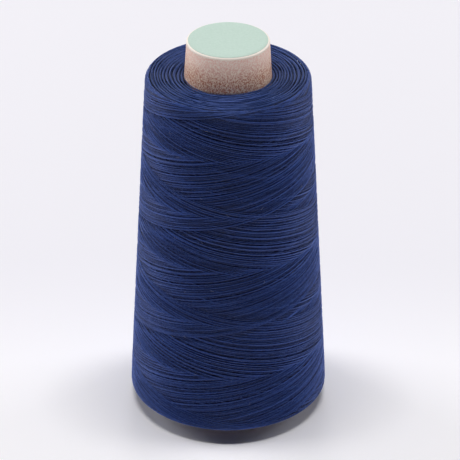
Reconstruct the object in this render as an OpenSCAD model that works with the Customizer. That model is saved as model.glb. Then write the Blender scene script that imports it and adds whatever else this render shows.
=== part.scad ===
// Cone of sewing thread: a rolled paper cone with its nose turned in, an outer
// paper ply, a round label on the nose, and one long thread cross-wound on it.
// Millimetres, +Z up. The origin is the centre of the base edge, on the axis.

/* [Paper cone] */
// Height of the cone, from its base edge to its nose
cone_h = 145; // [110:1:175]
// Outer diameter of the nose
nose_d = 29; // [26:0.1:40]
// Slope of the cone's side to its axis, in degrees
taper = 3.5; // [2.5:0.1:4.5]
// Thickness of the rolled board under the outer ply
board_t = 1.3; // [0.8:0.1:2]
// Thickness of the outer paper ply
ply_t = 0.4; // [0.2:0.05:0.6]
// Angle that a rolled sheet laps over itself, in degrees
lap_angle = 12; // [8:1:20]
// How far a lap stands out of its sheet
lap_t = 0.15; // [0.05:0.05:0.3]
// Width of the flange that is turned in at the nose, from the wall inwards
flange_w = 3; // [2:0.1:6]
// Radius of the bend under the flange
bend_r = 1; // [0.5:0.1:1.5]
// Radius of the burnished edge round the nose
nose_round = 0.5; // [0.4:0.05:1.2]
// Radius of the burnished edge round the base
base_round = 0.4; // [0.2:0.05:0.6]

/* [Nose label] */
// Bare nose left between the label and the rounded edge
label_margin = 0.1; // [0.1:0.1:3]
// Thickness of the label's paper
label_t = 0.15; // [0.08:0.01:0.3]

/* [Winding] */
// Bare cone below the winding
foot_bare = 4.7; // [2:0.1:10]
// Bare cone above the winding
nose_bare = 13.4; // [8:0.1:25]
// Depth of thread on the cone at the base end
base_build = 12.9; // [8:0.1:16]
// Depth of thread on the cone at the nose end
nose_build = 13.6; // [8:0.1:16]
// How steeply the end faces rise towards the rim, in degrees
end_tilt = 3.5; // [0:0.5:5]
// Radius of the rim round the nose end
nose_rim_r = 1.5; // [0.8:0.1:3]
// Radius of the rim round the base end
base_rim_r = 1; // [0.8:0.1:3]
// Width of one coil of thread on an end face
coil_w = 0.9; // [0.6:0.1:1.5]
// Height of the coils on the end faces
coil_h = 0.2; // [0.1:0.05:0.3]
// Clearance between the winding and the paper
wrap_gap = 0.03; // [0.02:0.01:0.1]

/* [Thread] */
// Diameter of the thread
thread_d = 0.25; // [0.2:0.05:0.4]
// Whole turns in one double pass, up the flank and down again
double_turns = 6; // [4:1:14]
// Outermost double passes, modelled as one length of thread
double_passes = 3; // [1:1:3]

/* [Hidden] */
$fn = 96;

arc_points = 6;         // points on each rounded edge
coil_points = 4;        // points on each coil of an end face
turn_rings = 40;        // rings in one turn of the thread
thread_sides = 4;       // sides of the thread's section
turnback_angle = 25;    // the thread turns back within this angle, in degrees
outer_lap_at = 95;      // where the outer ply's lap starts, in degrees from +X
inner_lap_at = 265;     // where the board's lap starts, inside the cone

slope = tan(taper);
ply_w = ply_t / cos(taper);
board_w = board_t / cos(taper);
base_lip = 2 * base_round;
nose_lip = cone_h - nose_round;
under_flange = cone_h - board_t;
base_face = foot_bare;
nose_face = cone_h - nose_bare;
label_d = nose_d - 2 * (nose_round + label_margin);

// Outer radius of the finished cone at a height
function cone_r(z) = nose_d / 2 + (cone_h - z) * slope;
function board_r(z) = cone_r(z) - ply_w;
function bore_r(z) = board_r(z) - board_w;

function unit(v) = v / norm(v);
function mix(a, b, t) = a + (b - a) * t;

// Points of an arc that rounds the corner b of the line a, b, c
function rounded(a, b, c, r) =
    let (
        u = unit(a - b),
        v = unit(c - b),
        half = acos(u * v) / 2,
        centre = b + unit(u + v) * r / sin(half),
        from = b + u * r / tan(half) - centre,
        to = b + v * r / tan(half) - centre,
        a0 = atan2(from[1], from[0]),
        a1 = atan2(to[1], to[0]),
        sweep = (a1 - a0) + (a1 - a0 > 180 ? -360 : a1 - a0 < -180 ? 360 : 0)
    )
    [for (i = [0:arc_points]) let (a = a0 + sweep * i / arc_points) centre + r * [cos(a), sin(a)]];

// Points of a row of coils between a and b, which bulge to the left of the way
function coils(a, b) =
    let (
        n = max(1, round(norm(b - a) / coil_w)),
        steps = n * coil_points,
        out = unit([a[1] - b[1], b[0] - a[0]])
    )
    [for (i = [0:steps]) mix(a, b, i / steps) + out * coil_h * abs(sin(180 * i / coil_points))];

// Corners of the winding's section: the two ends of each end face
base_in = [cone_r(base_face) + wrap_gap, base_face];
base_out = base_in + base_build * [1, tan(end_tilt)];
nose_in = [cone_r(nose_face) + wrap_gap, nose_face];
nose_out = nose_in + nose_build * [1, tan(end_tilt)];
flank_slope = (base_out[0] - nose_out[0]) / (nose_out[1] - base_out[1]);

module cone_board() {
    base_edge = rounded([0, 0], [cone_r(0), 0], [cone_r(base_lip), base_lip], base_round);
    nose_edge = rounded([cone_r(nose_lip), nose_lip], [cone_r(cone_h), cone_h], [0, cone_h], nose_round);
    hole_r = bore_r(cone_h) - flange_w;
    bend_at = [bore_r(under_flange), under_flange];
    inner_bend = rounded([hole_r, under_flange], bend_at, [bore_r(0), 0], bend_r);
    inner_face = -ply_w - board_w;
    inner_lap_top = under_flange - 2 * bend_r;
    color("#e3d3c6") {
        rotate_extrude()
        polygon(concat(
            [[bore_r(0), 0]],
            base_edge,
            [[cone_r(base_lip), base_lip], [board_r(base_lip), base_lip]],
            [[board_r(nose_lip), nose_lip], [cone_r(nose_lip), nose_lip]],
            nose_edge,
            [[hole_r, cone_h], [hole_r, under_flange]],
            inner_bend
        ));
        rotate([0, 0, inner_lap_at])
        paper_wrap(inner_face - lap_t, inner_face + board_w / 2, base_lip, inner_lap_top, lap_angle);
    }
}

// A sector of the thin cone between two offsets from the finished cone's side
module paper_wrap(inside, outside, from, to, angle = 360) {
    rotate_extrude(angle = angle)
    polygon([
        [cone_r(from) + inside, from],
        [cone_r(from) + outside, from],
        [cone_r(to) + outside, to],
        [cone_r(to) + inside, to]
    ]);
}

module cone_outer_ply() {
    color("#a98f84") {
        paper_wrap(-ply_w, 0, base_lip, nose_lip);
        rotate([0, 0, outer_lap_at])
        paper_wrap(-ply_w / 2, lap_t, base_lip, nose_lip, lap_angle);
    }
}

module nose_label() {
    color("#c3dccd")
    translate([0, 0, cone_h])
    cylinder(d = label_d, h = label_t);
}

module thread_winding() {
    base_rim = rounded(base_in, base_out, nose_out, base_rim_r);
    nose_rim = rounded(base_out, nose_out, nose_in, nose_rim_r);
    lap_clear = wrap_gap / cone_r(cone_h) * 180 / PI;
    color("#2c3768")
    difference() {
        rotate_extrude()
        polygon(concat(
            [for (p = coils(base_rim[0], base_in)) [p[0], p[1]]],
            [for (p = coils(nose_in, nose_rim[arc_points])) [p[0], p[1]]],
            [for (i = [1:arc_points]) nose_rim[arc_points - i]],
            [for (i = [0:arc_points - 1]) base_rim[arc_points - i]]
        ));
        rotate([0, 0, outer_lap_at - lap_clear])
        paper_wrap(-ply_w, lap_t + wrap_gap, base_face - 1, nose_face + 1, lap_angle + 2 * lap_clear);
    }
}

// The outermost thread, wound as a drum winder lays it. It climbs the flank at a
// steady pitch, turns back at the rim and comes down over what it laid, and each
// double pass starts a part of a turn on from the one before.
flank_low = base_out[1] + base_rim_r;
flank_high = nose_out[1] - nose_rim_r;
function flank_r(z) = base_out[0] - (z - base_out[1]) * flank_slope;
double_angle = 360 * (double_turns + 1 / (double_passes + 1));
pass_angle = double_angle / 2;
ring_step = 360 / turn_rings;
chord_dip = max(flank_r(flank_low), flank_r(flank_high)) * (1 - cos(ring_step / 2));

// Angle from the nearest turn back, and whether that is the one at the nose
function past(a) = a - pass_angle * round(a / pass_angle);
function at_nose(a) = round(a / pass_angle) % 2 == 1;
// Share of the flank that is climbed at an angle, with the turns rounded off
function climbed(a) =
    let (
        d = abs(past(a)),
        off = d < turnback_angle ? (d * d / turnback_angle + turnback_angle) / 2 : d
    )
    (at_nose(a) ? pass_angle - off : off) / pass_angle;
// Layer at an angle: 0 on the way up and 1, over it, on the way down
function layer(a) =
    let (share = min(1, max(0, (1 + past(a) / turnback_angle) / 2)))
    at_nose(a) ? share : 1 - share;
function thread_ring(a) =
    let (
        z = mix(flank_low, flank_high, climbed(a)),
        r = flank_r(z) + wrap_gap + chord_dip + thread_d / 2 + (thread_d + wrap_gap) * layer(a),
        corner_r = thread_d / 2 / cos(180 / thread_sides)
    )
    [for (i = [0:thread_sides - 1])
        let (s = 360 * (i + 0.5) / thread_sides, out = corner_r * cos(s), up = corner_r * sin(s))
        [(r + out) * cos(a), (r + out) * sin(a), z + up]];

module outer_thread() {
    last = floor(double_passes * double_angle / ring_step);
    points = [for (k = [0:last]) each thread_ring(k * ring_step)];
    first_end = [for (i = [0:thread_sides - 1]) i];
    last_end = [for (i = [1:thread_sides]) (last + 1) * thread_sides - i];
    sides = [for (k = [0:last - 1], i = [0:thread_sides - 1])
        let (j = (i + 1) % thread_sides, low = k * thread_sides, high = low + thread_sides)
        [low + i, high + i, high + j, low + j]];
    color("#3a4679")
    polyhedron(points, concat([first_end, last_end], sides), convexity = 20);
}

cone_board();
cone_outer_ply();
nose_label();
thread_winding();
outer_thread();
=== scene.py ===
# %% [markdown]
# A cone of sewing thread. A rolled paper cone carries one very long thread, which a
# drum winder lays in crossing passes, up the cone and down again. The imported CAD model
# is loaded first, because every piece below is made to sit where its solids are. The box
# of each of its parts is printed before anything changes.

# %% The imported model
import math

import bpy
import numpy as np
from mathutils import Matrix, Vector


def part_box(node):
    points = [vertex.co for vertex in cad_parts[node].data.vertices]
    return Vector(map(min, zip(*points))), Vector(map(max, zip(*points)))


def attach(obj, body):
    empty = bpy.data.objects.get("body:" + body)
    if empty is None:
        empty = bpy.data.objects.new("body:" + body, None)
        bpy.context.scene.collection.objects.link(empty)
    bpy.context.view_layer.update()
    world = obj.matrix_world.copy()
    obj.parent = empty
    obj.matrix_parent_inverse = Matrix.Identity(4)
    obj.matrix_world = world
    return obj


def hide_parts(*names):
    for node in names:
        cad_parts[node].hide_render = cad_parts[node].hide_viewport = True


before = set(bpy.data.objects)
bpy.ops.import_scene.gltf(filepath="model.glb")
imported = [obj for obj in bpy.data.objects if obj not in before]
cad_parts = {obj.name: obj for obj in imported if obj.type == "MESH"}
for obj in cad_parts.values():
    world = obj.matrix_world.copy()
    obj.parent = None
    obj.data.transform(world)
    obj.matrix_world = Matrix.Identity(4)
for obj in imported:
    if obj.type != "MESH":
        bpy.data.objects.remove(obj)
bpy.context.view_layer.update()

mm = 0.001
for name in sorted(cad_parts):
    low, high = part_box(name)
    print(name, "from", tuple(round(v / mm, 2) for v in low), "to", tuple(round(v / mm, 2) for v in high))

# %% [markdown]
# The camera looks a little down on the cone through a long lens, so the thread's side
# narrows only as much as the real taper makes it. The lens is worked out from the angle
# that the view takes in. It stands before anything else, so that every piece can be
# judged in the same view.

# %% Camera
aim = Vector((0.65 * mm, 0, 68.67 * mm))
camera_distance = 950.84 * mm
camera_pitch = math.radians(30.44)
view_angle = math.radians(9.98)
sensor = 36.0

camera_data = bpy.data.cameras.new("camera")
camera_data.sensor_width = sensor
camera_data.lens = sensor / 2 / math.tan(view_angle / 2)
camera_data.clip_start = 0.05
camera_data.clip_end = 20
camera = bpy.data.objects.new("camera", camera_data)
bpy.context.collection.objects.link(camera)
away = Vector((0, -math.cos(camera_pitch), math.sin(camera_pitch)))
camera.location = aim + away * camera_distance
camera.rotation_euler = (-away).to_track_quat("-Z", "Y").to_euler()
bpy.context.scene.camera = camera
print("lens", round(camera_data.lens, 1), "mm at", tuple(round(v, 4) for v in camera.location))

# %% [markdown]
# The paper cone and the winding are both shapes of revolution, so a few named sizes
# hold them: a slope, two corners at each end, and the rounding of the two rims. A corner
# is a radius and a height. The winding's flank runs between its two outer corners, and
# every thread is placed from it. Its upper rim is rounder and lies a little flatter than
# the CAD solid's, as the slack turn-backs at the small end of such a package do.

# %% Sizes of the cone and the winding
cone_h = 145 * mm
nose_r = 14.5 * mm
taper = 3.5
slope = math.tan(math.radians(taper))
board_t = 1.3 * mm
ply_t = 0.4 * mm

base_face = 4.7 * mm
nose_face = 131.6 * mm
flank_base = (36.01 * mm, 5.49 * mm)
flank_nose = (28.95 * mm, 131.95 * mm)
base_rim = 1.0 * mm
nose_rim = 2.0 * mm
base_tilt = math.tan(math.radians(3.5))
nose_tilt = math.tan(math.radians(1.5))
flank_slope = (flank_base[0] - flank_nose[0]) / (flank_nose[1] - flank_base[1])


def cone_r(z):
    """Outer radius of the paper cone at a height."""
    return nose_r + (cone_h - z) * slope


def flank_r(z):
    """Radius of the winding's flank at a height."""
    return flank_base[0] - (z - flank_base[1]) * flank_slope


print("cone", round(cone_r(0) / mm, 2), "to", round(cone_r(cone_h) / mm, 2), "mm radius")

# %% [markdown]
# Every piece that is made with operators starts with nothing selected, and ends with its
# place in its mesh, so that its object stays at the origin. Two small helpers do that.

# %% Starting and ending a piece


def deselect():
    """Leaves edit mode and selects nothing."""
    if bpy.context.object and bpy.context.object.mode != "OBJECT":
        bpy.ops.object.mode_set(mode="OBJECT")
    bpy.ops.object.select_all(action="DESELECT")


def settled(name):
    """Names the active object, puts its place into its mesh and returns it."""
    piece = bpy.context.object
    bpy.ops.object.transform_apply(location=True, rotation=True, scale=True)
    piece.name = piece.data.name = name
    return piece


print("selected at the start:", len(bpy.context.selected_objects))

# %% [markdown]
# A turned shape can be made by spinning a section, or by drawing a ring out of a circle
# again and again, as a potter does. The second way is used here, because each ring's
# radius and height can be read straight off the section. A circle is added, extruded
# and resized from ring to ring, and the last ring is welded onto the first one.

# %% Turning a shape from a circle


def turned(name, section, around=192):
    """A closed shape of revolution from the (radius, height) points of its section."""
    deselect()
    r, z = section[0]
    bpy.ops.mesh.primitive_circle_add(vertices=around, radius=r, location=(0, 0, z))
    bpy.ops.object.mode_set(mode="EDIT")
    bpy.ops.mesh.select_mode(type="VERT")
    bpy.ops.mesh.select_all(action="SELECT")
    for next_r, next_z in section[1:] + section[:1]:
        bpy.ops.mesh.extrude_region_move(TRANSFORM_OT_translate={"value": (0, 0, next_z - z)})
        k = next_r / r
        bpy.ops.transform.resize(value=(k, k, 1), center_override=(0, 0, next_z))
        r, z = next_r, next_z
    bpy.ops.mesh.select_all(action="SELECT")
    bpy.ops.mesh.remove_doubles(threshold=1e-6)
    bpy.ops.mesh.normals_make_consistent(inside=False)
    bpy.ops.object.mode_set(mode="OBJECT")
    piece = settled(name)
    bpy.ops.object.shade_smooth_by_angle(angle=math.radians(40))
    print(name, len(piece.data.polygons), "faces")
    return piece


def arc(centre, radius, start, end, steps=8):
    """Points of an arc in a section, with its angles in degrees."""
    angles = [math.radians(start + (end - start) * i / steps) for i in range(steps + 1)]
    return [(centre[0] + radius * math.cos(a), centre[1] + radius * math.sin(a)) for a in angles]


print("a rounded edge has", len(arc((0, 0), mm, 0, 90)), "points")

# %% [markdown]
# The cone is board rolled into several plies. Its nose is turned in to a flange, with a
# burnished round edge, and its base is a plain cut edge where the plies show as fine
# rings. The section goes round it once: along the cut edge, up the outside, round the
# nose, into the flange and down the bore.

# %% Sizes of the board
flange_w = 3 * mm
nose_round = 0.5 * mm
base_round = 0.4 * mm
bend_r = 1 * mm
cut_bevel = 0.08 * mm
hole_bevel = 0.2 * mm
lip = 2 * base_round
nose_lip = cone_h - nose_round
under_flange = cone_h - board_t
ply_w = ply_t / math.cos(math.radians(taper))
board_w = board_t / math.cos(math.radians(taper))


def bore_r(z):
    """Radius of the board's inside at a height."""
    return cone_r(z) - ply_w - board_w


hole_r = bore_r(cone_h) - flange_w
print("bore", round(bore_r(0) / mm, 2), "to", round(bore_r(under_flange) / mm, 2), "mm radius")

# %% [markdown]
# The fine rings of the cut base edge are small notches in the section, one between each
# two plies. The rest of the section is arcs and straight rows of points.

# %% The rolled board
ply_lines = 4
line_depth = 0.14 * mm
line_w = 0.05 * mm
rings_up = 12
base_edge = [(bore_r(0), cut_bevel), (bore_r(0) + cut_bevel, 0)]
for i in range(1, ply_lines):
    r = bore_r(0) + (board_w + ply_w) * i / ply_lines
    base_edge += [(r - line_w, 0), (r, line_depth), (r + line_w, 0)]

board_section = (
    base_edge
    + arc((cone_r(0) - base_round, base_round), base_round, -90, taper)
    + [(cone_r(lip), lip), (cone_r(lip) - ply_w, lip)]
    + [(cone_r(z) - ply_w, z) for z in np.linspace(lip, nose_lip, rings_up)[1:]]
    + [(cone_r(nose_lip), nose_lip)]
    + arc((cone_r(nose_lip) - nose_round, nose_lip), nose_round, taper, 90)
    + [(hole_r + hole_bevel, cone_h), (hole_r, cone_h - hole_bevel), (hole_r, under_flange)]
    + arc((bore_r(under_flange) - bend_r, under_flange - bend_r), bend_r, 90, taper)
    + [(bore_r(z), z) for z in np.linspace(under_flange - bend_r, 0, rings_up)[1:-1]]
)
rolled_board = turned("rolled_board", board_section)

# %% [markdown]
# The outer ply is one sheet of soft velvety kraft paper, rolled round the board so that
# its end laps over its start. A flat grid is added and wrapped onto the cone in code,
# because no operator wraps a sheet. It climbs over its own start along the lap, as the
# glued seam of the real one does, and two faint waves keep it from looking machined.
# Solidify then gives the sheet its thickness, inwards.

# %% The outer ply
lap_t = 0.15 * mm
lap_at = math.radians(95)
lap_angle = math.radians(12)
lap_climb = math.radians(3)
paper_t = 0.12 * mm
ply_cells = (248, 72)
ply_waves = ((0.018, 3, 31), (0.012, 7, -57))  # height in mm, waves round, waves up

deselect()
bpy.ops.mesh.primitive_grid_add(x_subdivisions=ply_cells[0], y_subdivisions=ply_cells[1], size=1)
outer_ply = bpy.context.object
for vertex in outer_ply.data.vertices:
    share, rise = vertex.co.x + 0.5, vertex.co.y + 0.5
    turn = share * (2 * math.pi + lap_angle)
    z = lip + (nose_lip - lip) * rise
    climb = min(1.0, max(0.0, (turn - 2 * math.pi + lap_climb) / lap_climb))
    soft = sum(tall * math.sin(rate * turn + up_rate * rise) for tall, rate, up_rate in ply_waves)
    r = cone_r(z) + lap_t * climb + soft * mm
    a = lap_at + turn
    vertex.co = (r * math.cos(a), r * math.sin(a), z)
solidify = outer_ply.modifiers.new("paper", "SOLIDIFY")
solidify.thickness = paper_t
solidify.offset = -1
bpy.ops.object.modifier_apply(modifier="paper")
outer_ply = settled("outer_ply")
bpy.ops.object.shade_smooth_by_angle(angle=math.radians(50))
print("outer_ply", len(outer_ply.data.polygons), "faces")

# %% [markdown]
# The label is a disc of paper cut with a die and stuck over the nose. It starts as a
# cylinder, whose top is inset again and again to get rings for its relief. The die
# presses its outermost edge down, the paper cockles a little, and it sinks slightly over
# the open hole below it. Its face is left bare.

# %% The nose label
label_r = 13.9 * mm
label_t = 0.15 * mm
pressed_w = 0.12 * mm
pressed_depth = 0.05 * mm
outermost_w = 0.02 * mm
relief_rings = 10
relief_ring_w = 1.25 * mm
sink_depth = 0.07 * mm
cockle = 0.012 * mm
cockle_rates = (640, 510)  # radians in each metre, along x and y

deselect()
bpy.ops.mesh.primitive_cylinder_add(
    vertices=192, radius=label_r, depth=label_t, location=(0, 0, cone_h + label_t / 2))
nose_disc = settled("nose_disc")
bpy.ops.object.mode_set(mode="EDIT")
bpy.ops.mesh.select_mode(type="FACE")
bpy.ops.mesh.select_all(action="DESELECT")
bpy.ops.object.mode_set(mode="OBJECT")
for face in nose_disc.data.polygons:
    face.select = face.normal.z > 0.9
bpy.ops.object.mode_set(mode="EDIT")
bpy.ops.mesh.inset(thickness=pressed_w)
for _ in range(relief_rings):
    bpy.ops.mesh.inset(thickness=relief_ring_w)
bpy.ops.object.mode_set(mode="OBJECT")
for vertex in nose_disc.data.vertices:
    x, y, z = vertex.co
    r = math.hypot(x, y)
    if z > cone_h + label_t / 2:
        sink = sink_depth * max(0.0, 1 - (r / hole_r) ** 2)
        press = pressed_depth if r > label_r - outermost_w else 0
        wave = math.sin(x * cockle_rates[0] + 2) * math.sin(y * cockle_rates[1])
        vertex.co.z = z - sink - press + cockle * wave
bpy.ops.object.shade_smooth_by_angle(angle=math.radians(50))
print("nose_disc", len(nose_disc.data.polygons), "faces")

# %% [markdown]
# Under the threads that can be seen lies the rest of the package. It is one turned body,
# set 0.75 mm below the surface, so that it shows only as the dark bottom of a groove
# between two threads. Its bore stays just clear of the paper and its lap.

# %% The body of the winding
core_depth = 0.75 * mm
core_rim = 1.0 * mm
core_low = base_face + 1.3 * mm
core_high = nose_face - 1.8 * mm
core_bore = lap_t + 0.03 * mm
core_lean = 3  # degrees
core_side = np.linspace(core_low + 2 * core_rim, core_high - 2 * core_rim, 48)
core_section = (
    [(cone_r(core_low) + core_bore, core_low)]
    + arc((flank_r(core_low) - core_depth - core_rim, core_low + core_rim), core_rim, -90, core_lean)
    + [(flank_r(z) - core_depth, z) for z in core_side]
    + arc((flank_r(core_high) - core_depth - core_rim, core_high - core_rim), core_rim, core_lean, 90)
    + [(cone_r(core_high) + core_bore, core_high)]
)
winding_core = turned("winding_core", core_section, around=240)

# %% [markdown]
# The thread itself can't be faked with a pattern, because its dark grooves come from
# where real strands happen to part. So it is wound. A map of the flank, one cell for
# each part of a degree and of a millimetre, holds how high the package stands. One pass
# climbs at a steady pitch, and eases into its turn-backs at both rims.

# %% One pass of the thread
thread_d = 0.25 * mm
pitch = 43.0 * mm
wind_low = 5.65 * mm
wind_high = 132.25 * mm
ease = 40.0  # degrees of each turn-back
angle_cell = 0.75  # degrees
height_cell = 0.1 * mm
spare = 20  # cells kept free below and above the wound height

turns = (wind_high - wind_low) / pitch + ease / 360
cells_round = int(360 / angle_cell)
cells_up = int((wind_high - wind_low) / height_cell) + 1 + 2 * spare
steps = int(math.ceil(turns * cells_round))
along = np.arange(steps + 1) * angle_cell
pass_angle = along[-1]

off = np.minimum(along, pass_angle - along)
off = np.where(off < ease, off * off / ease / 2, off - ease / 2) / (pass_angle - ease)
climbed = np.where(along < pass_angle / 2, off, 1 - off)
held = np.sin(np.pi * climbed) ** 0.5
print("a pass has", round(turns, 2), "turns, on a map of", cells_round, "by", cells_up, "cells")

# %% [markdown]
# A taut thread touches the tops of the ground below it and spans the hollows between
# them. Unrolled, that is the upper hull of the ground, bent by the package's own curve,
# which a walk along the pass finds by dropping every point that lies under a chord.

# %% Pulling a pass tight
mean_r = (flank_r(wind_low) + flank_r(wind_high)) / 2


def pulled_tight(ground, x):
    """The upper hull of the ground over x radians, on a drum of the package's radius."""
    bent = ground - mean_r * x * x / 2
    kept = []
    for i in range(len(bent)):
        while len(kept) > 1:
            a, b = kept[-2], kept[-1]
            if (bent[b] - bent[a]) * (x[i] - x[a]) > (bent[i] - bent[a]) * (x[b] - x[a]):
                break
            kept.pop()
        kept.append(i)
    return np.interp(x, x[kept], bent[kept]) + mean_r * x * x / 2


print("drum of", round(mean_r / mm, 1), "mm radius")

# %% [markdown]
# Now the passes are laid one after another. Each is pulled tight over what lies under
# it, sinks into it a little, and raises the map. Slow waves, which drift from pass to
# pass, let neighbours part and meet, and the turn-backs scatter below the rim. The step
# from one double pass to the next is about one thread, with now and then a wider one,
# and those leave the grooves.

# %% Winding the passes
double_passes_wound = 300
bite = 0.14  # of the thread's width
waves_in_a_pass = 4
wave_heights = (0.03, 0.10)  # mm
wave_rates = (0.5, 2.2)  # waves in each turn
swing_step = 0.10
jitter = 0.03 * mm
jitter_rates = (0.6, 2.5)
any_phase = (0, 6.3)
turn_scatter, turn_reach = 0.4, 1.2  # mm below the rim
step_share, step_spread = 0.96, 0.02  # of the thread's width
gap_odds, gap_odds_after_gap, gap_rest = 0.26, 0.07, 8
gap_widths = (0.14, 0.38)  # mm

rng = np.random.default_rng(7)
package = np.zeros((cells_round, cells_up))
passes = []
phase = 0.0
turned_at = [wind_low]
waves = [[(rng.uniform(*wave_heights) * mm, rng.uniform(*wave_rates)) for _ in range(waves_in_a_pass)]
         for way in range(2)]
swing = rng.uniform(0, 2 * np.pi, (2, waves_in_a_pass))
since_gap = 99
for i in range(2 * double_passes_wound):
    up = i % 2 == 0
    cell = int(round(phase / angle_cell))
    column = (cell + np.arange(steps + 1)) % cells_round
    short = min(abs(rng.standard_normal()) * turn_scatter, turn_reach) * mm
    turned_at.append(wind_high - short if up else wind_low + short)
    swing[i % 2] += rng.normal(0, swing_step, waves_in_a_pass)
    wave = sum(tall * np.sin(np.radians(along) * rate + at)
               for (tall, rate), at in zip(waves[i % 2], swing[i % 2]))
    wave = wave + jitter * np.sin(np.radians(along) * rng.uniform(*jitter_rates) + rng.uniform(*any_phase))
    z = turned_at[i] + (turned_at[i + 1] - turned_at[i]) * climbed + wave * held
    row = np.round((z - wind_low) / height_cell).astype(int) + spare
    ground = np.maximum.reduce([package[column, row + k] for k in (-1, 0, 1)])
    height = pulled_tight(ground - bite * thread_d, np.radians(along)) + thread_d / 2
    for k in (-1, 0, 1):
        top = height + math.sqrt((thread_d / 2) ** 2 - (k * height_cell) ** 2)
        np.maximum.at(package, (column, row + k), top)
    passes.append((np.radians(cell * angle_cell + along), z, height))
    phase = (cell + steps) * angle_cell
    if not up:
        step = thread_d * (step_share + step_spread * rng.standard_normal())
        since_gap += 1
        if rng.random() < (gap_odds if since_gap < gap_rest else gap_odds_after_gap):
            step += rng.uniform(*gap_widths) * mm
            since_gap = 0
        phase += step / pitch * 360 - (2 * steps * angle_cell) % 360
print("wound", len(passes), "passes, package", round(package.max() / mm, 2), "mm high")

# %% [markdown]
# What counts for the eye is how far a strand stands above or below its neighbourhood, so
# the package's mean surface is needed too. The map is averaged round and up with a bell
# shape, over a short reach near the rims, where the surface curves, and a longer one
# between them.

# %% The package's mean surface
reach_round, reach_up, reach_up_at_rims = 12, 8, 4  # cells
rim_zone = 2.5 * mm
rim_fade = 5 * mm


def smoothed(field, reach, axis):
    """The field averaged over a bell-shaped reach of cells, round the package or up it."""
    bell = np.exp(-0.5 * (np.arange(-2 * reach, 2 * reach + 1) / reach) ** 2)
    bell /= bell.sum()
    ends = [(2 * reach, 2 * reach) if a == axis else (0, 0) for a in (0, 1)]
    padded = np.pad(field, ends, mode="edge" if axis else "wrap")
    return np.apply_along_axis(lambda line: np.convolve(line, bell, mode="valid"), axis, padded)


round_level = smoothed(package, reach_round, 0)
cell_z = wind_low + (np.arange(cells_up) - spare) * height_cell
from_rim = np.minimum(cell_z - wind_low, wind_high - cell_z)
share = np.clip((from_rim - rim_zone) / rim_fade, 0, 1)
level = smoothed(round_level, reach_up_at_rims, 1) * (1 - share) + smoothed(round_level, reach_up, 1) * share
print("mean surface", round(level.min() / mm, 2), "to", round(level.max() / mm, 2), "mm high")

# %% [markdown]
# One strand becomes a thin tube of four sides, which smooth shading makes round. There
# are thousands of rings, so the mesh is filled from arrays. Its faces carry three maps.
# Thread counts millimetres along the thread and turns round it, for the twist. Lift
# holds how proud the strand lies; the materials paint the tone with it, as painted shade
# in the grooves and painted light on proud strands. OFBake lays each length of a strand
# in a row of its own, where colours can be baked.

# %% Rings and maps of a strand
strand_sides = 4
bake_row = 210 * mm
thread_edge = 0.02  # of a turn, left free at the edge of a strand's own number
bake_edge = 0.1  # of a row, left free at its edges
bake_end = 0.01  # of the map, left free at the ends of the rows


def tube_rings(centre, out, radius):
    """Points of a tube's rings round its centres, turned by its outward vectors."""
    ahead = np.gradient(centre, axis=0)
    ahead /= np.linalg.norm(ahead, axis=1)[:, None]
    side = np.cross(ahead, out)
    side /= np.linalg.norm(side, axis=1)[:, None]
    up = np.cross(side, ahead)
    turn = np.arange(strand_sides) * 2 * np.pi / strand_sides
    round_it = up[:, None, :] * np.cos(turn)[None, :, None] + side[:, None, :] * np.sin(turn)[None, :, None]
    return (centre[:, None, :] + radius * round_it).reshape(-1, 3)


def corners(u0, v0, u1, v1):
    """Places on a map of the four corners of each face, from one ring to the next."""
    return np.stack([u0, v0, u0, v1, u1, v1, u1, v0], 1)


def across(edge, side):
    """Share of a strand's strip at a side's edge, with a margin left free at both ends."""
    return edge + (1 - 2 * edge) * side / strand_sides


print("a strand has", strand_sides, "sides, and a row of its colour map holds", round(bake_row / mm), "mm")

# %% [markdown]
# A piece is one mesh of many strands. Every strand adds its rings, the faces between
# them and a cap at each end, and the arrays are joined and handed to Blender once.

# %% Strand meshes


def mesh_piece(name, points, quads, maps):
    """An object from arrays of points, four-sided faces and maps."""
    mesh = bpy.data.meshes.new(name)
    mesh.vertices.add(len(points))
    mesh.vertices.foreach_set("co", points.ravel())
    mesh.loops.add(quads.size)
    mesh.loops.foreach_set("vertex_index", quads.ravel())
    mesh.polygons.add(len(quads))
    mesh.polygons.foreach_set("loop_start", np.arange(len(quads)) * strand_sides)
    mesh.polygons.foreach_set("use_smooth", np.ones(len(quads), bool))
    mesh.update(calc_edges=True)
    mesh.validate()
    for layer, values in maps.items():
        mesh.uv_layers.new(name=layer).data.foreach_set("uv", values.ravel())
    piece = bpy.data.objects.new(name, mesh)
    bpy.context.collection.objects.link(piece)
    return piece


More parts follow.
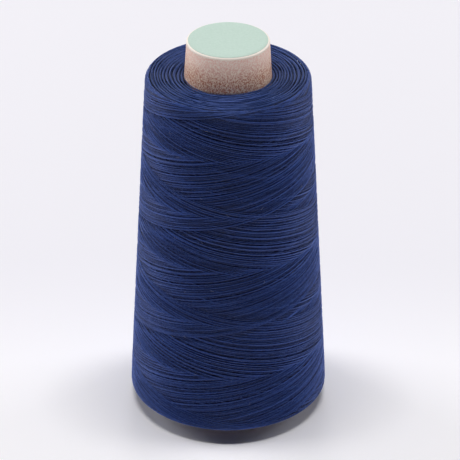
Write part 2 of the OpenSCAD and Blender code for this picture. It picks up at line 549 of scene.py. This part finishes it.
def strands(name, runs, radius):
    """One mesh of many tubes. A run is its number, centres (n, 3), outward vectors (n, 3) and lift."""
    points, quads, marks, lifts, bakes = [], [], [], [], []
    first, rows = 0, 0
    cap = np.arange(strand_sides)
    for number, centre, out, lift in runs:
        n = len(centre)
        points.append(tube_rings(centre, out, radius))
        i, j = np.meshgrid(np.arange(n - 1), np.arange(strand_sides), indexing="ij")
        i, j = i.ravel(), j.ravel()
        near, far = first + i * strand_sides, first + (i + 1) * strand_sides
        j2 = (j + 1) % strand_sides
        quads.append(np.stack([near + j, near + j2, far + j2, far + j], 1))

        length = np.concatenate([[0], np.cumsum(np.linalg.norm(np.diff(centre, axis=0), axis=1))])
        marks.append(corners(
            length[i] / mm, number + across(thread_edge, j),
            length[i + 1] / mm, number + across(thread_edge, j + 1)))
        lifts.append(corners(lift[i], 0 * lift[i], lift[i + 1], 0 * lift[i]))
        row = np.floor((length[i] + length[i + 1]) / 2 / bake_row)
        bakes.append(corners(
            (length[i] - row * bake_row) / bake_row, rows + row + across(bake_edge, j),
            (length[i + 1] - row * bake_row) / bake_row, rows + row + across(bake_edge, j + 1)))
        rows += int(row.max()) + 1

        last = first + (n - 1) * strand_sides
        quads.append(np.stack([first + cap[::-1], last + cap]))
        marks.append(np.tile([0, number + 0.5], (2, strand_sides)).astype(float))
        lifts.append(np.zeros((2, 2 * strand_sides)))
        bakes.append(np.tile([0.5, rows - 0.5], (2, strand_sides)).astype(float))
        first += n * strand_sides
    quads = np.concatenate(quads)
    bakes = np.concatenate(bakes).reshape(-1, 2)
    bakes = np.stack([bakes[:, 0] * (1 - 2 * bake_end) + bake_end, bakes[:, 1] / rows], 1)
    maps = {"Thread": np.concatenate(marks), "Lift": np.concatenate(lifts), "OFBake": bakes}
    print(name, len(runs), "runs", 2 * len(quads), "triangles")
    return mesh_piece(name, np.concatenate(points), quads, maps)


# %% [markdown]
# Only the last double passes show, so only those get a mesh. Their height on the map is
# turned into a radius: the flank's own line, plus how far the strand stands above or
# below the package's mean level there, which is also its lift. Near a rim the line
# curves in, so the strands round it off, and the top few millimetres are drawn down to
# the shoulder. The whole flank is turned so that the start of the last pass up lies at a
# given angle. The very last end is tucked under its neighbours at the back.

# %% The threads of the flank
double_passes_shown = 176
pieces_of_flank = 6
ring_every = 4  # cells of the pass for each ring of the tube
fullness = 1.08  # of the thread's radius, so that neighbours touch
stand_out = -0.20 * mm
relief = 0.26 * mm
relief_gain = 1.25
relief_at_rims = 0.45
relief_fade = 6 * mm
shoulder_from = wind_high - 8 * mm
rim_top = flank_nose[1] - 0.18 * mm
last_turn_at = math.radians(-85)


def rim_drop(past, radius):
    """How far a rounded rim lies inside its line, this far past where the rounding starts."""
    past = np.clip(past, 0, radius * 0.98)
    return radius - np.sqrt(radius * radius - past * past)


flank_runs = []
shown = passes[-2 * double_passes_shown:]
facing = last_turn_at - passes[-2][0][0]
for number, (angle, z, height) in enumerate(shown):
    angle, z, height = angle[::ring_every], z[::ring_every], height[::ring_every]
    row = (z - wind_low) / height_cell + spare
    column = np.round(np.degrees(angle) / angle_cell).astype(int) % cells_round
    low = np.clip(row.astype(int), 0, cells_up - 2)
    ground = level[column, low] * (1 - (row - low)) + level[column, low + 1] * (row - low)
    lift = np.tanh(relief_gain * (height - ground) / relief)
    near = np.clip(np.minimum(z - wind_low, wind_high - z) / relief_fade, 0, 1)
    z = np.interp(z, (wind_low, shoulder_from, wind_high), (wind_low, shoulder_from, rim_top))
    proud = relief * lift * (relief_at_rims + (1 - relief_at_rims) * near)
    drop = rim_drop(flank_base[1] + base_rim - z, base_rim) + rim_drop(z - flank_nose[1] + nose_rim, nose_rim)
    r = flank_r(z) + stand_out + proud - drop
    out = np.stack([np.cos(angle + facing), np.sin(angle + facing), 0 * angle], 1)
    centre = np.stack([r * out[:, 0], r * out[:, 1], z], 1)
    flank_runs.append((number, centre, out, lift))

flank_threads = []
in_piece = math.ceil(len(flank_runs) / pieces_of_flank)
for i in range(pieces_of_flank):
    part = flank_runs[i * in_piece:(i + 1) * in_piece]
    flank_threads.append(strands(f"flank_thread_{i + 1}", part, thread_d / 2 * fullness))

# %% [markdown]
# At each end of the package the thread turns back, and the turn-backs of all the layers
# make the end face. What shows of each is an arc along the rim that it had when it was
# wound: its middle lies on top and both ends dive under its neighbours. Arcs that lie
# together make ridges with grooves between them, which wander and fork. An arc on a
# ridge is given a higher lift than one in a groove, and the lift only sets its tone:
# painted shade in the grooves and painted light on the ridges.

# %% Ridges of the end faces
ridge_wander = ((0.45, 1.0, 0.5, 1.0), (0.25, 3.0, -0.8, 2.1), (0.15, 7.0, 1.3, 0.7))
ridge_sharpness = 0.9


def ridge(r, angle, width, seed):
    """Height of the ridges, from 0 in a groove to 1 on top, with a slow wander round the face."""
    wander = sum(tall * np.sin(angle * rate + r / mm * outward + shift * seed)
                 for tall, rate, outward, shift in ridge_wander)
    return np.abs(np.sin(np.pi * (r / width + 0.5 * wander))) ** ridge_sharpness


print("ridges wander by up to", round(sum(w[0] for w in ridge_wander) / 2, 2), "of their width")

# %% [markdown]
# Both faces are filled from the cone outwards, ring by ring, with a few arcs in each.
# Every arc has its own length, place and small bend, drawn with a fixed seed.

# %% The coils of the end faces
level_share = 0.93  # of the thread's width, from one ring of arcs to the next
first_coil = thread_d * 0.6
arc_halves = (36, 62)  # degrees
arc_ring = np.radians(3.5)
arc_slip = 0.2
coil_scatter = 0.08  # mm
coil_bend = 0.10 * mm
coil_rise = 0.09  # mm
dive_from, dive_bow, dive_depth = 0.7, 0.08, 0.9
# The lift of an end arc only sets its tone: painted shade in a groove, painted light on a ridge.
painted_groove_shade, painted_ridge_light = -1.4, 0.8


def end_coils(name, inner, outer, face, rim, way, tilt, ridge_w, ridge_h, arcs, seed):
    """Arcs of thread on one end face, from the inner radius to the rim."""
    draw = np.random.default_rng(seed)
    runs, number = [], 0
    levels = int((outer - inner) / (thread_d * level_share))
    for k in range(levels + 1):
        r0 = inner + first_coil + (outer - inner - first_coil) * k / levels
        first = draw.uniform(0, 2 * np.pi)
        for m in range(arcs):
            half = np.radians(draw.uniform(*arc_halves))
            middle = first + 2 * np.pi * m / arcs + draw.uniform(-arc_slip, arc_slip)
            t = np.linspace(-1, 1, int(2 * half / arc_ring) + 2)
            angle = middle + half * t
            r = (r0 + draw.uniform(-coil_scatter, coil_scatter) * mm
                 + coil_bend * np.sin(angle * 2 + draw.uniform(*any_phase)))
            end = np.clip(abs(t) - dive_from, 0, 1) ** 1.5 / (1 - dive_from) ** 1.5
            dive = (dive_bow * t * t + dive_depth * end) * thread_d
            high = ridge(r, angle, ridge_w, seed)
            up = ridge_h * (high - 1.0) + draw.normal(0, coil_rise) * mm
            z = face + (r - inner) * tilt + way * (up - dive - rim_drop(r - (outer - rim), rim))
            centre = np.stack([r * np.cos(angle), r * np.sin(angle), z], 1)
            out = np.stack([0 * r, 0 * r, way + 0 * r], 1)
            # The arc's tone is painted from the ridge: darker in a groove, paler on top.
            runs.append((number, centre, out, painted_groove_shade + (painted_ridge_light - painted_groove_shade) * high))
            number += 1
    return strands(name, runs, thread_d / 2 * fullness)


ridge_w = 1.15 * mm
inside_rim = 0.3 * mm
nose_coils = end_coils(
    "nose_coils", inner=cone_r(nose_face) + 0.08 * mm, outer=flank_nose[0] - inside_rim,
    face=nose_face, rim=nose_rim, way=1, tilt=nose_tilt,
    ridge_w=ridge_w, ridge_h=1.80 * mm, arcs=9, seed=3)
base_coils = end_coils(
    "base_coils", inner=cone_r(base_face) + 0.2 * mm, outer=flank_base[0] - inside_rim,
    face=base_face - 0.06 * mm, rim=base_rim, way=-1, tilt=base_tilt,
    ridge_w=ridge_w, ridge_h=1.20 * mm, arcs=7, seed=11)

# %% [markdown]
# Cotton thread is spun from short fibres, so a few of them stand off the package and some
# pale lint clings to it. Each is one thin tube that starts in the surface, arches over it
# and comes back down. They are strewn over the flank with a fixed seed.

# %% Loose fibres and lint
fibre_heights = (8, 128)  # mm above the base
fibre_arch = (0.1, 0.45)  # mm
fibre_root = 0.06  # mm below the surface
fibre_heading = 0.6
fibre_bend = 0.8


def loose_fibres(name, count, thick, longest, seed):
    """One mesh of fibres strewn over the flank, each with its own length, heading and bend."""
    draw = np.random.default_rng(seed)
    runs = []
    t = np.linspace(0, 1, 7)
    for number in range(count):
        z0, angle0 = draw.uniform(*fibre_heights) * mm, draw.uniform(0, 2 * np.pi)
        length, heading = draw.uniform(0.5, 1) * longest, draw.normal(0, fibre_heading)
        way = heading + draw.uniform(-fibre_bend, fibre_bend) * t
        z = z0 + np.cumsum(np.sin(way)) * length / len(t)
        angle = angle0 + np.cumsum(np.cos(way)) * length / len(t) / flank_r(z0)
        r = flank_r(z) + (draw.uniform(*fibre_arch) * 4 * t * (1 - t) - fibre_root) * mm
        out = np.stack([np.cos(angle), np.sin(angle), 0 * angle], 1)
        runs.append((number, np.stack([r * out[:, 0], r * out[:, 1], z], 1), out, 0 * t))
    return strands(name, runs, thick)


stray_fibres = loose_fibres("loose_fibres", count=700, thick=0.012 * mm, longest=2.6 * mm, seed=5)
stray_lint = loose_fibres("pale_lint", count=90, thick=0.028 * mm, longest=1.6 * mm, seed=8)

# %% [markdown]
# Materials are nodes. A few small helpers add a node and set its inputs, each to a plain
# value or to another node's output, so that a material reads as a list of what feeds
# what. Mixing two colours and a single sum are needed most often, so they get their own.

# %% Node helpers


def plug(tree, socket, value):
    """Sets a socket to a plain value, or links another node's output to it."""
    if isinstance(value, bpy.types.NodeSocket):
        tree.links.new(value, socket)
    else:
        socket.default_value = value


def add(tree, kind, inputs=None, **settings):
    """Adds a node, with its settings and its inputs by name or number."""
    node = tree.nodes.new("ShaderNode" + kind)
    for key, value in settings.items():
        setattr(node, key, value)
    for key, value in (inputs or {}).items():
        plug(tree, node.inputs[key], value)
    return node


def maths(tree, operation, a, b=0.0, c=0.0):
    return add(tree, "Math", {0: a, 1: b, 2: c}, operation=operation).outputs[0]


def blend(tree, share, a, b, way="MIX"):
    """Mixes colours a and b. The Mix node's colour inputs are its numbers 6 and 7."""
    return add(tree, "Mix", {0: share, 6: a, 7: b}, data_type="RGBA", blend_type=way).outputs[2]


def noise(tree, place, scale, detail, **more):
    inputs = {"Vector": place, "Scale": scale, "Detail": detail}
    return add(tree, "TexNoise", {**inputs, **more}).outputs["Fac"]


def spread(tree, value, low, high, **settings):
    """A value from low to high, stretched to 0 to 1 and clamped."""
    return add(tree, "MapRange", {0: value, 1: low, 2: high}, **settings).outputs[0]


def srgb(r, g, b):
    """A colour written as it looks on screen, 0 to 255."""
    def linear(v):
        v = v / 255
        return v / 12.92 if v <= 0.04045 else ((v + 0.055) / 1.055) ** 2.4
    return (linear(r), linear(g), linear(b), 1.0)


print("navy in linear light:", tuple(round(v, 4) for v in srgb(46, 76, 149)[:3]))

# %% [markdown]
# Every material ends in one Principled shader, which gets a colour, a roughness and a
# bump. What several materials share is a node group: it is built once, and each material
# gives it its own values.

# %% Materials and groups


def new_material(name):
    material = bpy.data.materials.new(name)
    material.use_nodes = True
    tree = material.node_tree
    tree.nodes.clear()
    output = tree.nodes.new("ShaderNodeOutputMaterial")
    shader = tree.nodes.new("ShaderNodeBsdfPrincipled")
    tree.links.new(shader.outputs[0], output.inputs[0])
    return material, tree, shader


def surface(tree, shader, colour, rough, height, strength, depth):
    """Gives the shader its colour, its roughness, and a bump of this height and depth."""
    plug(tree, shader.inputs["Base Color"], colour)
    plug(tree, shader.inputs["Roughness"], rough)
    bump = add(tree, "Bump", {"Height": height, "Strength": strength, "Distance": depth})
    plug(tree, shader.inputs["Normal"], bump.outputs[0])


def sheen(shader, weight, rough, tint):
    shader.inputs["Sheen Weight"].default_value = weight
    shader.inputs["Sheen Roughness"].default_value = rough
    shader.inputs["Sheen Tint"].default_value = tint


def group(name, inputs, outputs):
    """A node group. An input with no default is a vector, and all else is a number."""
    tree = bpy.data.node_groups.new(name, "ShaderNodeTree")
    for key, value in inputs.items():
        kind = "NodeSocketVector" if value is None else "NodeSocketFloat"
        socket = tree.interface.new_socket(name=key, in_out="INPUT", socket_type=kind)
        if value is not None:
            socket.default_value = value
    for key in outputs:
        tree.interface.new_socket(name=key, in_out="OUTPUT", socket_type="NodeSocketFloat")
    return tree, tree.nodes.new("NodeGroupInput").outputs, tree.nodes.new("NodeGroupOutput").inputs


def use(tree, shared, inputs):
    """Places a shared group in a material and returns its outputs."""
    node = tree.nodes.new("ShaderNodeGroup")
    node.node_tree = shared
    for key, value in inputs.items():
        plug(tree, node.inputs[key], value)
    return node.outputs


print("materials so far:", len(bpy.data.materials))

# %% [markdown]
# Sewing thread is two plies twisted together. Along its own map the twist is a slanting
# wave, whose height goes into a bump, broken up by fine fuzz. Its tone isn't even: each
# strand has its own, taken from its number, the dye varies slowly along it, and slubs,
# where the yarn is thicker and looser, come every millimetre or so. The group gives out
# the tone and the height, and the materials mix their colours with them.

# %% Thread twist, shared by the thread materials
twist_group, given, result = group(
    "thread_twist", {"Map": None, "Lay": 1.7, "Fuzz": 0.35}, ("Tone", "Height"))
own_share, slow_share, slub_share = 0.3, 0.2, 0.5
split = add(twist_group, "SeparateXYZ", {0: given["Map"]}).outputs
along_it, round_it = split[0], split[1]
number = maths(twist_group, "FLOOR", round_it)


def thread_noise(along_rate, across_place, across_rate, scale, detail):
    """Noise on the thread's own map, at this rate for each mm along it."""
    place = add(twist_group, "CombineXYZ", {
        0: maths(twist_group, "MULTIPLY", along_it, along_rate),
        1: maths(twist_group, "MULTIPLY", across_place, across_rate)}).outputs[0]
    return noise(twist_group, place, scale, detail)


lays = maths(twist_group, "DIVIDE", along_it, given["Lay"])
wave_at = maths(twist_group, "ADD", lays, maths(twist_group, "FRACT", round_it))
wave = maths(twist_group, "SINE", maths(twist_group, "MULTIPLY", wave_at, 4 * math.pi))
own = add(twist_group, "TexWhiteNoise", {"W": number}, noise_dimensions="1D").outputs["Value"]
slow = thread_noise(0.03, number, 7.3, scale=1.0, detail=2.0)
fuzz = thread_noise(1.2, round_it, 9.0, scale=3.0, detail=3.0)
slubs = thread_noise(0.8, round_it, 1.5, scale=1.0, detail=3.0)
tone = maths(twist_group, "MULTIPLY", spread(twist_group, slubs, 0.35, 0.65), slub_share)
tone = maths(twist_group, "MULTIPLY_ADD", slow, slow_share, tone)
tone = maths(twist_group, "MULTIPLY_ADD", own, own_share, tone)
height = maths(twist_group, "MULTIPLY", fuzz, given["Fuzz"])
height = maths(twist_group, "MULTIPLY_ADD", wave, 0.5, height)
plug(twist_group, result["Tone"], tone)
plug(twist_group, result["Height"], height)
print("thread_twist", len(twist_group.nodes), "nodes")

# %% [markdown]
# The thread is spun cotton dyed navy, soft and without gloss. Its fibres stand off it as
# a fine nap, which looks paler at a flat angle, so the package is darker in the middle
# than at its edges. The shader's own sheen gives a part of that, and the rest is a
# painted sheen: a Layer Weight node brightens the base colour towards a tint where the
# surface is seen at a flat angle. On the flank it reads the angle to the package's own
# outward direction, and on the end faces the angle to the way the thread runs. Strands
# that lie proud are painted a paler tone than those in a groove, which is painted light
# and shade from their relief.

# %% Thread materials
# How the painted sheen rises with a flatter angle, and how far below the upper rim it fades out.
painted_sheen_from = 0.13
painted_sheen_curve = 0.6
painted_sheen_fade = 5 * mm


def thread_material(name, deep, light, painted_sheen_tint, rough, end_face=False):
    """Thread from a deep to a light tone, and a painted sheen tint where it is seen at a flat angle."""
    painted_sheen_full = 0.9 if end_face else 0.45
    # How much a strand's lift paints its tone, as painted shade in the grooves and painted light on proud
    # strands.
    painted_relief_share = 0.9 if end_face else 0.3
    material, tree, shader = new_material(name)
    place = add(tree, "TexCoord").outputs["Object"]
    if end_face:
        outward = add(tree, "VectorMath", {0: (0, 0, 1), 1: place}, operation="CROSS_PRODUCT").outputs[0]
    else:
        outward = add(tree, "VectorMath", {0: place, 1: (1, 1, 0)}, operation="MULTIPLY").outputs[0]
    outward = add(tree, "VectorMath", {0: outward}, operation="NORMALIZE").outputs[0]
    # Painted sheen: the base colour is brightened towards the tint where the surface is seen at a flat angle.
    facing = add(tree, "LayerWeight", {"Blend": 0.5, "Normal": outward}).outputs["Facing"]
    painted_sheen = maths(tree, "POWER", spread(tree, facing, painted_sheen_from, painted_sheen_full), painted_sheen_curve)
    if not end_face:
        height_z = add(tree, "SeparateXYZ", {0: place}).outputs[2]
        painted_sheen = maths(tree, "MULTIPLY", painted_sheen, spread(tree, height_z, rim_top, rim_top - painted_sheen_fade))
    mark = add(tree, "UVMap", uv_map="Thread").outputs[0]
    lift = add(tree, "SeparateXYZ", {0: add(tree, "UVMap", uv_map="Lift").outputs[0]}).outputs[0]
    twist = use(tree, twist_group, {"Map": mark, "Lay": 1.7, "Fuzz": 0.35})
    # Painted light and shade: the tone is shifted by how proud the strand lies.
    tone = blend(tree, maths(tree, "MULTIPLY_ADD", lift, painted_relief_share, twist["Tone"]), deep, light)
    # The painted sheen's colour, multiplied into the tone.
    tint = blend(tree, painted_sheen, (1, 1, 1, 1), painted_sheen_tint)
    colour = blend(tree, 1.0, tone, tint, way="MULTIPLY")
    roughness = maths(tree, "MULTIPLY_ADD", twist["Tone"], -0.12, rough)
    surface(tree, shader, colour, roughness, twist["Height"], 0.35, 0.02 * mm)
    sheen(shader, 0.3, 0.35, srgb(170, 180, 225))
    shader.inputs["Specular IOR Level"].default_value = 0.32
    print(name, len(tree.nodes), "nodes")
    return material


# The last colour of each is the tint of its painted sheen.
thread_navy = thread_material(
    "thread_navy", srgb(14, 26, 67), srgb(46, 76, 149), painted_sheen_tint=(2.3, 1.84, 1.62, 1), rough=0.58)
# The ends' very dark deep tone is reached in their grooves, as painted shade.
thread_ends = thread_material(
    "thread_ends", srgb(4, 9, 28), srgb(47, 71, 131), painted_sheen_tint=(1.75, 1.65, 1.6, 1), rough=0.58,
    end_face=True)
lint_pale = thread_material(
    "lint_pale", srgb(120, 130, 160), srgb(205, 205, 215), painted_sheen_tint=(1, 1, 1, 1), rough=0.7)

# %% [markdown]
# The body under the strands is the same thread, painted darker as the shade at the bottom
# of the grooves. Noise that is drawn out round it stands for its windings.

# %% The depths of the winding
thread_depths, tree, shader = new_material("thread_depths")
place = add(tree, "TexCoord").outputs["Object"]
lines = add(tree, "Mapping", {"Vector": place, "Scale": (60, 60, 3600)}).outputs[0]
streak = noise(tree, lines, 1.0, 3.0)
# Painted shade: both colours are darker than the thread's own.
surface(tree, shader, blend(tree, streak, srgb(10, 14, 38), srgb(26, 34, 76)), 0.85, streak, 0.6, 0.1 * mm)
print("thread_depths", len(tree.nodes), "nodes")

# %% [markdown]
# Paper and board are felted fibres. One group gives them: noise with a finer layer over
# it, read from Object coordinates so that it has no seam. Its contrast and scale are set
# by each material.

# %% Paper fibres, shared by the board, the ply and the label
fibre_group, given, result = group(
    "paper_fibres", {"Place": None, "Scale": 900.0, "Contrast": 1.0}, ("Fibre", "Height"))
coarse = noise(fibre_group, given["Place"], given["Scale"], 4.0, Roughness=0.6)
fine = noise(fibre_group, given["Place"], maths(fibre_group, "MULTIPLY", given["Scale"], 2.7), 2.0)
both = maths(fibre_group, "MULTIPLY_ADD", coarse, 0.7, maths(fibre_group, "MULTIPLY", fine, 0.3))
contrast = maths(fibre_group, "MULTIPLY", maths(fibre_group, "SUBTRACT", both, 0.5), given["Contrast"])
fibre = add(fibre_group, "Clamp", {"Value": maths(fibre_group, "ADD", contrast, 0.5)}).outputs[0]
plug(fibre_group, result["Fibre"], fibre)
plug(fibre_group, result["Height"], both)
print("paper_fibres", len(fibre_group.nodes), "nodes")

# %% [markdown]
# The board and the label are plain papers: pale fibres, a little rough, with a shallow
# bump. The board's nose edge is burnished to cream, and the label is mint all over. One
# function makes both.

# %% Board and label


def plain_paper(name, dark, light, scale, contrast, rough, rough_spread, strength, depth):
    """Felted paper between a dark and a light tone. Strength and depth are its bump's."""
    material, tree, shader = new_material(name)
    place = add(tree, "TexCoord").outputs["Object"]
    fibres = use(tree, fibre_group, {"Place": place, "Scale": scale, "Contrast": contrast})
    colour = blend(tree, fibres["Fibre"], dark, light)
    roughness = maths(tree, "MULTIPLY_ADD", fibres["Fibre"], rough_spread, rough)
    surface(tree, shader, colour, roughness, fibres["Height"], strength, depth)
    print(name, len(tree.nodes), "nodes")
    return material


board_cream = plain_paper(
    "board_cream", srgb(246, 230, 218), srgb(255, 248, 240), scale=1200.0, contrast=2.0,
    rough=0.6, rough_spread=0.15, strength=0.25, depth=0.1 * mm)
label_mint = plain_paper(
    "label_mint", srgb(178, 203, 190), srgb(198, 218, 208), scale=1100.0, contrast=1.6,
    rough=0.5, rough_spread=0.12, strength=0.15, depth=0.05 * mm)

# %% [markdown]
# The ply's soft nap is pale near the nose and darker and mottled lower down, towards the
# winding. Its colour follows the height on the cone, and slow patches keep the change
# from being even. Right at the top, just under the rolled edge, a narrow band is the
# same cream as the board.

# %% Kraft paper
pale_above = cone_h - 1.5 * mm
mottled_below = cone_h - 13.5 * mm
fade_gain = 1.7
patch_height, patch_offset = 0.5, -0.4
cream_band_from, cream_band_to = cone_h - 0.95 * mm, cone_h - 0.5 * mm

kraft_nap, tree, shader = new_material("kraft_nap")
place = add(tree, "TexCoord").outputs["Object"]
long_way = add(tree, "Mapping", {"Vector": place, "Scale": (1.0, 1.0, 0.8)}).outputs[0]
height_z = add(tree, "SeparateXYZ", {0: place}).outputs[2]
fibres = use(tree, fibre_group, {"Place": long_way, "Scale": 2200.0, "Contrast": 10.0})
patches = maths(tree, "MULTIPLY_ADD", noise(tree, place, 160.0, 3.0), patch_height, patch_offset)
down = spread(tree, height_z, pale_above, mottled_below)
mottled_share = add(tree, "Clamp", {"Value": maths(tree, "MULTIPLY_ADD", down, fade_gain, patches)}).outputs[0]
pale_tone = blend(tree, fibres["Fibre"], srgb(247, 203, 187), srgb(255, 235, 222))
mottled = blend(tree, fibres["Fibre"], srgb(202, 122, 92), srgb(255, 230, 206))
cream_band = spread(tree, height_z, cream_band_from, cream_band_to)
colour = blend(tree, cream_band, blend(tree, mottled_share, pale_tone, mottled), srgb(255, 238, 224))
roughness = maths(tree, "MULTIPLY_ADD", fibres["Fibre"], 0.15, 0.72)
surface(tree, shader, colour, roughness, fibres["Height"], 0.5, 0.15 * mm)
sheen(shader, 0.1, 0.6, srgb(255, 226, 208))
print("kraft_nap", len(tree.nodes), "nodes")

# %% [markdown]
# Each piece is listed with its material, the slot that it takes its finish from, and the
# CAD node that it stands for. It gets its material and rides on the root body, and the
# CAD node is hidden. All the strands of the flank stand for the one outer thread, and
# both end faces belong to the winding.

# %% Dressing the pieces
dressed = [
    (rolled_board, board_cream, "board", "cone_board"),
    (outer_ply, kraft_nap, "kraft_ply", "cone_outer_ply"),
    (nose_disc, label_mint, "label_paper", "nose_label"),
    (winding_core, thread_depths, "thread", "thread_winding"),
    (nose_coils, thread_ends, "thread", "thread_winding"),
    (base_coils, thread_ends, "thread", "thread_winding"),
    *((piece, thread_navy, "thread_top", "outer_thread") for piece in flank_threads),
    (stray_fibres, thread_navy, "thread_top", "outer_thread"),
    (stray_lint, lint_pale, "thread_top", "outer_thread"),
]
for piece, material, slot, node in dressed:
    piece.data.materials.clear()
    piece.data.materials.append(material)
    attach(piece, "root")
    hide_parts(node)
print("dressed", len(dressed), "pieces")

# %% [markdown]
# The studio is plain. The floor is a real lit surface of pale paper. Its colour is
# painted a shade lighter in front of the cone than behind it, which lifts the shade of
# the side and back lamps there, and it keeps the soft contact shadow.

# %% Floor and world
far_from, near_from = 0.10, -0.04  # metres behind and in front of the cone
deselect()
bpy.ops.mesh.primitive_plane_add(size=6, location=(0, 0, 0))
floor = settled("floor")
studio_floor, tree, shader = new_material("studio_floor")
depth = add(tree, "SeparateXYZ", {0: add(tree, "TexCoord").outputs["Object"]}).outputs[1]
near = spread(tree, depth, far_from, near_from, interpolation_type="SMOOTHSTEP")
# Painted light: the floor's colour is paler in front, where the lamps' shadows fall.
plug(tree, shader.inputs["Base Color"], blend(tree, near, srgb(237, 235, 241), srgb(254, 252, 255)))
shader.inputs["Roughness"].default_value = 0.9
shader.inputs["Specular IOR Level"].default_value = 0.1
floor.data.materials.append(studio_floor)

scene = bpy.context.scene
scene.view_settings.view_transform = "Standard"
world = bpy.data.worlds.new("world")
scene.world = world
world.use_nodes = True
sky = world.node_tree.nodes["Background"]
sky.inputs["Color"].default_value = srgb(245, 243, 248)
sky.inputs["Strength"].default_value = 0.01
print("floor", tuple(floor.dimensions[:2]), "m")

# %% [markdown]
# Most of the light comes from straight above, from two long soft lamps, so the shadow
# lies as a narrow ring under the winding. Low lamps at both sides brighten the edges of
# the thread and leave its middle darker. A small lamp behind lifts the far floor, and a
# low one in front reaches under the winding.

# %% Lamps
middle = (0, 0, 0.07)
lamps = {  # place and size in metres, power in watts
    "lamp_top": ((0, 0.15, 3.0), (1.8, 0.3), 56),
    "lamp_strip": ((0, 0.35, 3.0), (3.0, 0.3), 9),
    "lamp_back": ((0, 2.6, 1.5), (0.8, 0.8), 11.5),
    "lamp_front": ((0, -2.6, 0.2), (1.6, 0.25), 9.2),
    "lamp_left": ((-2.3, 1.2, 0.95), (1.4, 1.0), 34),
    "lamp_right": ((2.3, 1.2, 0.95), (1.4, 1.0), 25),
}
for name, (place, size, power) in lamps.items():
    data = bpy.data.lights.new(name, "AREA")
    data.shape = "RECTANGLE"
    data.size, data.size_y = size
    data.energy = power
    lamp = bpy.data.objects.new(name, data)
    bpy.context.collection.objects.link(lamp)
    lamp.location = place
    lamp.rotation_euler = (Vector(middle) - Vector(place)).to_track_quat("-Z", "Y").to_euler()
    print(name, power, "W")
